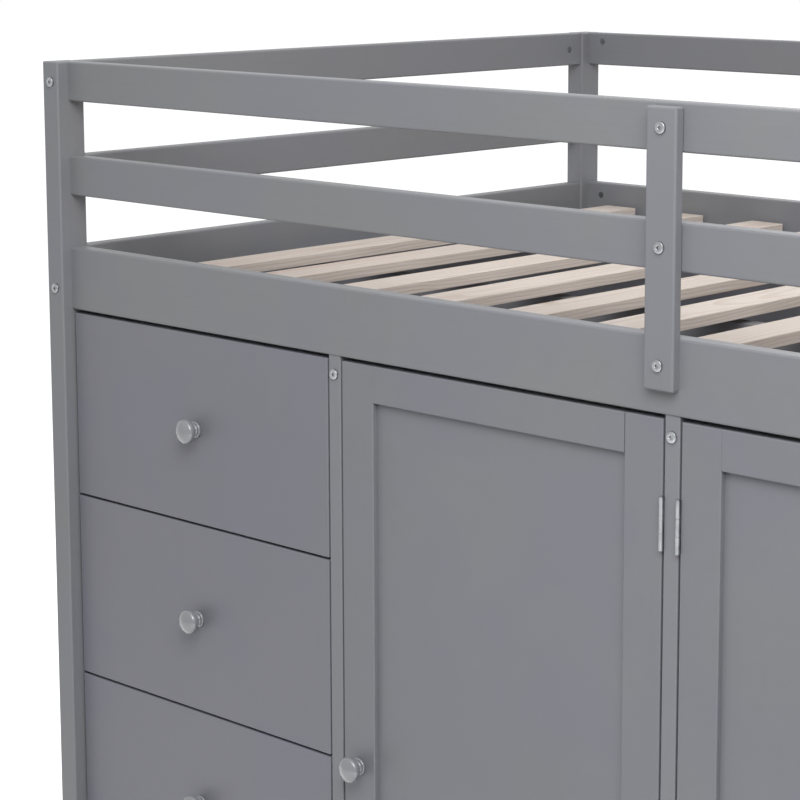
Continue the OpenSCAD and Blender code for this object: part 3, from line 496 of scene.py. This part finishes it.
def bare_pine(name):
    """Planed pine slats. Each slat has its own heart, at a random place below its face, with
    rings round it, fine fibres and warm streaks along it, and a tone of its own. A knot is a disc
    with a halo round a random point of each patch of slat."""
    settings = bpy.context.scene.bed_pine
    r = Recipe(name)
    across, height, roll, own = slat_pattern_place(r)
    reach, radius, kept = slat_knots(r, own)
    swell = r.math("MULTIPLY", r.steps(reach, KNOT_BEND_REACH, 0.0, 0.0, KNOT_BEND), kept)
    late = slat_rings(r, across, height, roll, own, swell)

    fibre = r.grain(own, PINE_FIBRES, Y, detail=4, roughness=0.6)
    streak = r.grain(own, PINE_STREAKS, Y)
    rings = r.math("MULTIPLY", late, RING_SHARE)
    colour = r.blend(rings, rgba(settings.early), rgba(settings.late))
    streaks = r.steps(streak, 0.54, 0.78, 0.0, STREAK_SHARE)
    colour = r.blend(streaks, colour, rgba(settings.heart))
    fibres = r.steps(fibre, 0.62, 0.28, 0.0, FIBRE_SHARE)
    colour = r.blend(fibres, colour, rgba(settings.late, 0.8))
    shade = r.between(roll[2], 0.91, 1.05)
    colour = r.blend(1.0, colour, r.joined(shade, shade, shade), "MULTIPLY")

    halo_near, halo_far = KNOT_HALO
    halo = r.math("MULTIPLY", r.steps(reach, halo_far, halo_near), kept)
    colour = r.blend(r.math("MULTIPLY", halo, HALO_SHARE), colour, rgba(settings.heart, 0.82))
    disc = r.math("MULTIPLY", r.steps(reach, radius, r.math("SUBTRACT", radius, KNOT_EDGE)), kept)
    eye = r.math("MULTIPLY_ADD", r.math("SINE", r.math("MULTIPLY", reach, KNOT_RINGS)), 0.25, 0.4)
    knot = r.blend(eye, rgba(settings.knot), rgba(settings.heart, 0.6))
    colour = r.blend(r.math("MULTIPLY", disc, KNOT_SHARE), colour, knot)

    normal = r.bump(late, PINE_RING_DEPTH, r.bump(fibre, PINE_FIBRE_DEPTH))
    rough = r.between(fibre, 0.48, 0.68)
    return r.surface(Base_Color=colour, Roughness=rough, Normal=normal, Specular_IOR_Level=0.35)


def lacquered_birch(name, along):
    """Birch of the drawer boxes: fine fibres and short flecks along axis number along."""
    settings = bpy.context.scene.bed_pine
    r = Recipe(name)
    fibre = r.grain(r.place, BIRCH_FIBRES, along, detail=4, roughness=0.6)
    colour = r.mottle(r.noise(r.place, BIRCH_CLOUDS, detail=3), settings.birch, 0.9, 1.07)
    fibres = r.steps(fibre, 0.6, 0.3, 0.0, 0.3)
    colour = r.blend(fibres, colour, rgba(settings.birch, 0.62))
    rough = r.between(fibre, 0.34, 0.49)
    return r.surface(Base_Color=colour, Roughness=rough, Normal=r.bump(fibre, BIRCH_FIBRE_DEPTH))


def zinc_steel(name):
    """Zinc-plated steel: fine tumbling marks and slightly uneven gloss."""
    settings = bpy.context.scene.bed_hardware
    r = Recipe(name)
    marks = r.noise(r.place, ZINC_MARKS, detail=3, roughness=0.6)
    cloud = r.noise(r.place, ZINC_CLOUDS)
    colour = r.mottle(cloud, settings.steel, 0.86, 1.1)
    rough = r.between(cloud, 0.24, 0.44)
    return r.surface(Base_Color=colour, Metallic=1.0, Roughness=rough,
                     Normal=r.bump(marks, ZINC_MARK_DEPTH))


def black_nylon(name):
    """Moulded nylon of the glides, with a fine matt texture."""
    settings = bpy.context.scene.bed_hardware
    r = Recipe(name)
    texture = r.noise(r.place, NYLON_TEXTURE)
    colour = r.blend(texture, rgba(settings.nylon, 0.8), rgba(settings.nylon, 1.3))
    rough = r.between(texture, 0.5, 0.7)
    return r.surface(Base_Color=colour, Roughness=rough,
                     Normal=r.bump(texture, NYLON_TEXTURE_DEPTH))


def finish_nodes(names, material):
    """Gives the CAD pieces of these names a material."""
    for name in names:
        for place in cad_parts[name].material_slots:
            place.material = material


def node_points(name):
    """A CAD piece's corners as an array, and its triangles as rows of three indices."""
    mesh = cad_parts[name].data
    points = np.empty(len(mesh.vertices) * 3, np.float32)
    mesh.vertices.foreach_get("co", points)
    corners = np.empty(len(mesh.loops), np.int32)
    mesh.loops.foreach_get("vertex_index", corners)
    return points.reshape(-1, 3).astype(float), corners.reshape(-1, 3)


def solids(name):
    """The corners of each separate solid of a CAD piece. Corners at one place share a label, and
    each triangle gives its lowest label to its corners, until no label changes."""
    points, triangles = node_points(name)
    micrometre_places = 6
    places, label = np.unique(np.round(points, micrometre_places), axis=0, return_inverse=True)
    triangles = label.reshape(-1)[triangles]
    group = np.arange(len(places))
    settled = False
    while not settled:
        lowest = np.repeat(group[triangles].min(axis=1), 3)
        spread = group.copy()
        np.minimum.at(spread, triangles.ravel(), lowest)
        settled = bool((spread == group).all())
        group = spread
    return [places[group == number] for number in np.unique(group)]


def solid_boxes(name):
    """(lowest corner, highest corner) of each separate solid of a CAD piece."""
    return [(corners.min(axis=0), corners.max(axis=0)) for corners in solids(name)]


def turned(radii, heights, foot, axis, count):
    """A turned surface. A point of ring i at angle a is foot + height_i * axis + radius_i(a) *
    (cos a * side + sin a * other side). radii has a row for each ring and a column for each
    angle, or one column. Both ends close with a fan."""
    axis = np.asarray(axis, float)
    side = np.roll(np.abs(axis), 1)
    other = np.cross(axis, side)
    angle = np.arange(count) * 2 * np.pi / count
    spokes = np.outer(np.cos(angle), side) + np.outer(np.sin(angle), other)
    heights = np.asarray(heights, float)
    radii = np.asarray(radii, float).reshape(len(heights), -1)
    radii = np.broadcast_to(radii, (len(heights), count))
    rings = foot + heights[:, None, None] * axis + radii[:, :, None] * spokes[None]
    ends = np.array([foot + heights[0] * axis, foot + heights[-1] * axis])
    points = np.concatenate([rings.reshape(-1, 3), ends])
    low_end, high_end = len(points) - 2, len(points) - 1

    row = np.arange(len(heights) - 1)[:, None] * count
    here = np.arange(count)[None]
    onward = (here + 1) % count
    quads = np.stack([row + here, row + onward, row + count + onward, row + count + here], -1)
    last = (len(heights) - 1) * count
    low_fan = np.stack([np.full(count, low_end), onward[0], here[0]], -1)
    high_fan = np.stack([np.full(count, high_end), last + here[0], last + onward[0]], -1)
    return points, quads.reshape(-1, 4).tolist() + low_fan.tolist() + high_fan.tolist()


def add_piece(name, parts, material, body, crease=CREASE):
    """A mesh object from (points, faces) parts, smooth but for edges sharper than crease
    degrees."""
    points, faces, start = [], [], 0
    for part_points, part_faces in parts:
        points.append(part_points)
        faces += [[start + index for index in face] for face in part_faces]
        start += len(part_points)
    mesh = bpy.data.meshes.new(name)
    mesh.from_pydata(np.concatenate(points).tolist(), [], faces)
    mesh.shade_smooth()
    mesh.set_sharp_from_angle(angle=math.radians(crease))
    mesh.materials.append(material)
    piece = bpy.data.objects.new(name, mesh)
    bpy.context.scene.collection.objects.link(piece)
    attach(piece, body)
    return piece


def knob_outline(radius, length, foot, neck):
    """Radii and heights of a knob from its foot: half a circle for the bead, a cove on a
    quarter of an ellipse down to the neck, a quarter of an ellipse under the cap, a quarter of
    a circle, a straight and part of a circle for the rim, and a sphere's cap for the top, which
    starts where the rim leans KNOB_DOME_SLOPE from the knob's axis."""
    t = np.linspace(0, 1, KNOB_ARC_POINTS)
    turn = t * np.pi / 2
    slope = KNOB_DOME_SLOPE
    bead, rim = length * KNOB_BEAD, length * KNOB_RIM
    waist, core = foot - bead, radius - rim
    dome = (core + rim * math.sin(slope)) / math.sin(slope)
    neck_height = length * KNOB_NECK_HEIGHT
    high_rim = length - dome * (1 - math.cos(slope)) - rim * math.cos(slope)
    low_rim = high_rim - length * KNOB_CAP_STRAIGHT

    bead_r, bead_h = waist + bead * np.sin(t * np.pi), bead - bead * np.cos(t * np.pi)
    cove_r = waist - (waist - neck) * np.sin(turn)
    cove_h = 2 * bead + (neck_height - 2 * bead) * (1 - np.cos(turn))
    swell_r = neck + (core - neck) * (1 - np.cos(turn))
    swell_h = neck_height + (low_rim - rim - neck_height) * np.sin(turn)
    under_r, under_h = core + rim * np.sin(turn), low_rim - rim * np.cos(turn)
    lean = np.pi / 2 - t * (np.pi / 2 - slope)
    over_r, over_h = core + rim * np.sin(lean), high_rim + rim * np.cos(lean)
    lean = slope * (1 - t)
    top_r, top_h = dome * np.sin(lean), length - dome * (1 - np.cos(lean))
    radii = np.concatenate([bead_r, cove_r[1:], swell_r[1:], under_r[1:], over_r, top_r[1:-1]])
    heights = np.concatenate([bead_h, cove_h[1:], swell_h[1:], under_h[1:], over_h, top_h[1:-1]])
    return radii, heights


def read_bolt(corners):
    """A CAD bolt's direction towards its head, middle, whole length, head radius and shank
    radius. The head is at the end where its corners lie furthest from the axis."""
    rim_share, same_place = 0.95, 1e-5
    low, high = corners.min(axis=0), corners.max(axis=0)
    middle = (low + high) / 2
    along = int(np.argmax(high - low))
    total = (high - low)[along]
    radius = np.sort(high - low)[0] / 2
    off_axis = np.linalg.norm(np.delete(corners - middle, along, axis=1), axis=1)
    rim = corners[off_axis > radius * rim_share]
    direction = np.zeros(3)
    direction[along] = np.sign(rim[:, along].mean() - middle[along])
    tip = middle - direction * total / 2
    at_tip = np.abs(corners[:, along] - tip[along]) < same_place
    return direction, middle, total, radius, float(off_axis[at_tip].min())


def domed_bolt(corners):
    """A bolt in a CAD bolt's place with a low round head: the head's straight side, a quarter of
    a circle, a crown that rises by a sine to the socket's chamfered mouth, a socket with six
    sides and a flat floor, and a plain shank. The socket's radius at an angle is its half width
    times the cosine of 30 degrees, divided by the cosine of the angle to the nearest side's
    middle."""
    settings = bpy.context.scene.bed_hardware
    direction, middle, total, radius, shank = read_bolt(corners)
    high, count = settings.bolt_head, settings.steps
    length = total - high
    flat = radius - BOLT_ROUND_EDGE
    mouth = settings.bolt_socket / 2 + BOLT_MOUTH_CHAMFER
    edge_height, crown_height = high - BOLT_CROWN - BOLT_ROUND_EDGE, high - BOLT_CROWN

    t = np.linspace(0, np.pi / 2, BOLT_ARC_POINTS)
    edge_r, edge_h = flat + BOLT_ROUND_EDGE * np.cos(t), edge_height + BOLT_ROUND_EDGE * np.sin(t)
    crown_r = flat - (flat - mouth) * (1 - np.cos(t[1:]))
    crown_h = crown_height + BOLT_CROWN * np.sin(t[1:])
    plain = np.concatenate([[shank - BOLT_TIP_BEVEL, shank, shank, radius], edge_r, crown_r])
    angle = np.arange(count) * 2 * np.pi / count
    to_side = np.mod(angle, np.pi / 3) - np.pi / 6
    socket = settings.bolt_socket / 2 * np.cos(np.pi / 6) / np.cos(to_side)
    radii = np.concatenate([np.repeat(plain[:, None], count, axis=1), [socket, socket]])
    heights = np.concatenate([
        [-length, -length + BOLT_TIP_BEVEL, 0.0, 0.0], edge_h, crown_h,
        [high - BOLT_MOUTH_CHAMFER, high - BOLT_SOCKET_DEPTH]])
    head = middle + direction * (total / 2 - high)
    return turned(radii, heights, head, direction, count)


def turn_knob(name, body, paint_material, steel_material):
    """A turned knob with its screw, in the place of the CAD knob. The screw is a plain shank with
    a domed head, whose outline is a quarter of an ellipse."""
    settings = bpy.context.scene.bed_hardware
    low, high = (np.array(corner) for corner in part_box(name))
    middle = (low + high) / 2
    radius = (high[X] - low[X]) / 2
    foot = np.array([middle[X], low[Y] + settings.knob_length, middle[Z]])
    forward = np.array([0.0, -1.0, 0.0])
    radii, heights = knob_outline(radius, settings.knob_length, settings.knob_foot / 2,
                                  settings.knob_neck / 2)
    knob = add_piece(f"{name}_turned", [turned(radii, heights, foot, forward, settings.steps)],
                     paint_material, body, crease=KNOB_CREASE)

    under_head = high[Y] - foot[Y] - SCREW_HEAD_HEIGHT
    t = np.linspace(0, np.pi / 2, SCREW_ARC_POINTS)[:-1]
    radii = np.concatenate([[SCREW_SHANK_RADIUS] * 2, SCREW_HEAD_RADIUS * np.cos(t)])
    heights = np.concatenate([[0.0, under_head], under_head + SCREW_HEAD_HEIGHT * np.sin(t)])
    add_piece(f"{name}_screw", [turned(radii, heights, foot, -forward, settings.screw_steps)],
              steel_material, body)
    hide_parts(name)


class BED_OT_paint_timber(bpy.types.Operator):
    """Paint the posts, rails, uprights and ladder"""

    bl_idname = "bed.paint_timber"
    bl_label = "Paint Timber"

    def execute(self, context):
        colour = context.scene.bed_paint.timber
        finish_nodes(TIMBER_ALONG_X, paint("paint_timber_x", colour, X))
        finish_nodes(TIMBER_ALONG_Y, paint("paint_timber_y", colour, Y))
        finish_nodes(TIMBER_ALONG_Z, paint("paint_timber_z", colour, Z))
        return {"FINISHED"}


class BED_OT_paint_cabinets(bpy.types.Operator):
    """Paint the cabinets' panels, the drawer fronts and the doors"""

    bl_idname = "bed.paint_cabinets"
    bl_label = "Paint Cabinets"

    def execute(self, context):
        settings = context.scene.bed_paint
        finish_nodes(PANELS, paint("paint_panels", settings.panel))
        finish_nodes([f"{name}_front" for name in DRAWERS], paint("paint_drawers", settings.drawer))
        finish_nodes([f"{name}_frame" for name in DOORS], paint("paint_door_frames", settings.door))
        finish_nodes([f"{name}_panel" for name in DOORS], paint("paint_door_panels", settings.door))
        return {"FINISHED"}


class BED_OT_finish_slats(bpy.types.Operator):
    """Give the slats their pine"""

    bl_idname = "bed.finish_slats"
    bl_label = "Finish Slats"

    def execute(self, context):
        finish_nodes(["slats"], bare_pine("bare_pine"))
        return {"FINISHED"}


class BED_OT_finish_drawer_boxes(bpy.types.Operator):
    """Give the drawer boxes and their runners their birch"""

    bl_idname = "bed.finish_drawer_boxes"
    bl_label = "Finish Drawer Boxes"

    def execute(self, context):
        boxes = [f"{name}_box" for name in DRAWERS]
        finish_nodes(boxes + ["drawer_runners"], lacquered_birch("birch", Y))
        return {"FINISHED"}


class BED_OT_turn_knobs(bpy.types.Operator):
    """Turn the knobs of the drawers and doors"""

    bl_idname = "bed.turn_knobs"
    bl_label = "Turn Knobs"

    def execute(self, context):
        settings = context.scene.bed_paint
        gloss = paint("paint_knobs", settings.knob, roughness=settings.knob_roughness,
                      coat=settings.knob_coat)
        steel = zinc_steel("steel_knob_screws")
        for body in DRAWERS + DOORS:
            turn_knob(f"{body}_knob", body, gloss, steel)
        return {"FINISHED"}


class BED_OT_fit_hardware(bpy.types.Operator):
    """Fit the domed bolts, and finish the hinges, nuts, screws, pins and glides"""

    bl_idname = "bed.fit_hardware"
    bl_label = "Fit Hardware"

    def execute(self, context):
        steel = zinc_steel("zinc_steel")
        finish_nodes(STEEL, steel)
        finish_nodes(["foot_glides"], black_nylon("black_nylon"))
        bolts = [domed_bolt(corners) for corners in solids("frame_bolts")]
        piece = add_piece("domed_bolts", bolts, steel, "bed")
        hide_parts("frame_bolts")
        return {"FINISHED"}


def white_ground(name, tint, glow):
    """A pale floor of a grey tint. The camera sees it glow times brighter, so that open floor is
    white and the bed's shadow still shows on it."""
    r = Recipe(name)
    plain, bright = (r.add("BsdfDiffuse", {"Color": [part] * 3 + [1.0]})
                     for part in (tint, tint * glow))
    choice = r.add("MixShader", {0: r.background_rays(), 1: plain.outputs[0],
                                 2: bright.outputs[0]})
    r.add("OutputMaterial", {"Surface": choice.outputs[0]})
    return r.material


def studio_air(name, strength):
    """Even light from all round. The camera and glossy surfaces see white there."""
    world = bpy.data.worlds.new(name)
    world.use_nodes = True
    r = Recipe(world)
    air, white = (r.add("Background", {"Color": [1.0] * 4, "Strength": part})
                  for part in (strength, 1.0))
    choice = r.add("MixShader", {0: r.background_rays(), 1: air.outputs[0], 2: white.outputs[0]})
    r.add("OutputWorld", {"Surface": choice.outputs[0]})
    return world


def add_floor(settings):
    """One square on the ground, round the origin."""
    half = settings.floor_size / 2
    corners = [(-half, -half, 0), (half, -half, 0), (half, half, 0), (-half, half, 0)]
    mesh = bpy.data.meshes.new("floor")
    mesh.from_pydata(corners, [], [(0, 1, 2, 3)])
    mesh.materials.append(white_ground("white_ground", settings.floor_tint, settings.floor_glow))
    floor = bpy.data.objects.new("floor", mesh)
    bpy.context.scene.collection.objects.link(floor)


def soft_lamp(name, place, target, size, power):
    """A square lamp at place that points at target."""
    light = bpy.data.lights.new(name, "AREA")
    light.shape = "SQUARE"
    light.size = size
    light.energy = power
    lamp = bpy.data.objects.new(name, light)
    bpy.context.scene.collection.objects.link(lamp)
    lamp.location = place
    lamp.rotation_euler = (Vector(target) - Vector(place)).to_track_quat("-Z", "Y").to_euler()


def add_camera(settings):
    """The camera at its place, turned about the upright and tilted down."""
    data = bpy.data.cameras.new("camera")
    data.sensor_width = settings.sensor
    data.lens = settings.lens
    data.shift_x, data.shift_y = settings.shift
    camera = bpy.data.objects.new("camera", data)
    bpy.context.scene.collection.objects.link(camera)
    camera.location = settings.camera_place
    camera.rotation_euler = (math.pi / 2 - settings.camera_tilt, 0.0, settings.camera_turn)
    return camera


class BED_OT_set_stage(bpy.types.Operator):
    """Set the floor, the light and the camera"""

    bl_idname = "bed.set_stage"
    bl_label = "Set Stage"

    def execute(self, context):
        scene = context.scene
        settings = scene.bed_stage
        add_floor(settings)
        scene.world = studio_air("studio", settings.air)
        for name, (place, target, size) in LAMPS.items():
            soft_lamp(name, place, target, size, getattr(settings, f"{name}_power"))
        scene.camera = add_camera(settings)
        scene.view_settings.view_transform = "Standard"
        return {"FINISHED"}


class BED_PT_finishes(bpy.types.Panel):
    """Lists the bed's finishes and the steps that make them"""

    bl_idname = "BED_PT_finishes"
    bl_label = "Loft Bed Finishes"
    bl_space_type = "VIEW_3D"
    bl_region_type = "UI"
    bl_category = "Loft Bed"

    def draw(self, context):
        for group in GROUPS:
            settings = getattr(context.scene, group)
            box = self.layout.box()
            for name in settings.__annotations__:
                box.prop(settings, name)
        for operator in OPERATORS:
            self.layout.operator(operator.bl_idname)


GROUPS = {
    "bed_paint": PaintSettings,
    "bed_pine": PineSettings,
    "bed_hardware": HardwareSettings,
    "bed_stage": StageSettings,
}
OPERATORS = [
    BED_OT_paint_timber,
    BED_OT_paint_cabinets,
    BED_OT_finish_slats,
    BED_OT_finish_drawer_boxes,
    BED_OT_turn_knobs,
    BED_OT_fit_hardware,
    BED_OT_set_stage,
]


def register():
    for name, group in GROUPS.items():
        bpy.utils.register_class(group)
        setattr(bpy.types.Scene, name, PointerProperty(type=group))
    for operator in OPERATORS:
        bpy.utils.register_class(operator)
    bpy.utils.register_class(BED_PT_finishes)


def unregister():
    bpy.utils.unregister_class(BED_PT_finishes)
    for operator in reversed(OPERATORS):
        bpy.utils.unregister_class(operator)
    for name, group in GROUPS.items():
        delattr(bpy.types.Scene, name)
        bpy.utils.unregister_class(group)


def main():
    register()
    bpy.ops.bed.paint_timber()
    bpy.ops.bed.paint_cabinets()
    bpy.ops.bed.finish_slats()
    bpy.ops.bed.finish_drawer_boxes()
    bpy.ops.bed.turn_knobs()
    bpy.ops.bed.fit_hardware()
    bpy.ops.bed.set_stage()


if __name__ == "__main__":
    main()
